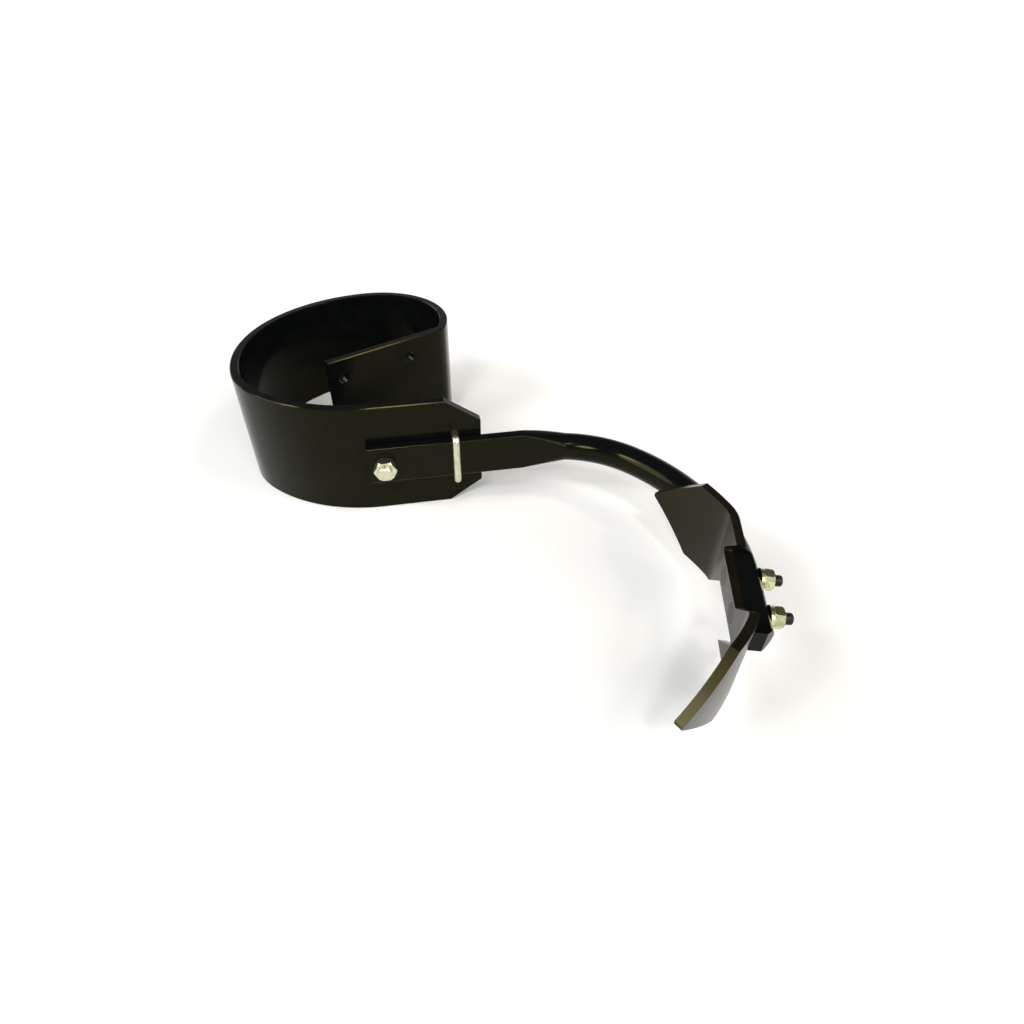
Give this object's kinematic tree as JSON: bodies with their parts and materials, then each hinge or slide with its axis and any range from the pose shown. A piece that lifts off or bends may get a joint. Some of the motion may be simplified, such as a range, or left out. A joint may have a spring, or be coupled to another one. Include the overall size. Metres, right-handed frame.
{
  "type": "cultivator spring tine",
  "caption": "Spring tine for a cultivator: a wide spring band wound into one turn, a bent round bar shank on its outer leg, and a curved reversible share on the shank's foot.",
  "frame": {"origin": "centre of the four frame bolt holes, on the outer face of the band's mounting leg, half way up the band", "axes": "+X along the mounting leg from its free end to the tight bend, +Y from the leg's outer face into the loop, +Z across the band"},
  "size_m": [0.3314, 0.7042, 0.13],
  "materials": {
    "band_paint": "gloss black paint",
    "shank_paint": "gloss black paint",
    "share_paint": "gloss black paint over rolled steel",
    "zinc": "yellowish zinc plating",
    "black_steel": "black oxide"
  },
  "bodies": {
    "root": {"band_spring": "band_paint", "shank": "shank_paint", "share": "share_paint", "share_bolt_upper": "black_steel", "share_bolt_lower": "black_steel", "share_washer_upper": "zinc", "share_washer_lower": "zinc", "share_nut_upper": "zinc", "share_nut_lower": "zinc", "shank_bolt": "zinc", "shank_washer": "zinc", "shank_nut": "zinc", "u_bolt": "zinc", "u_bolt_washer_upper": "zinc", "u_bolt_washer_lower": "zinc", "u_bolt_nut_upper": "zinc", "u_bolt_nut_lower": "zinc"}
  },
  "joints": []
}
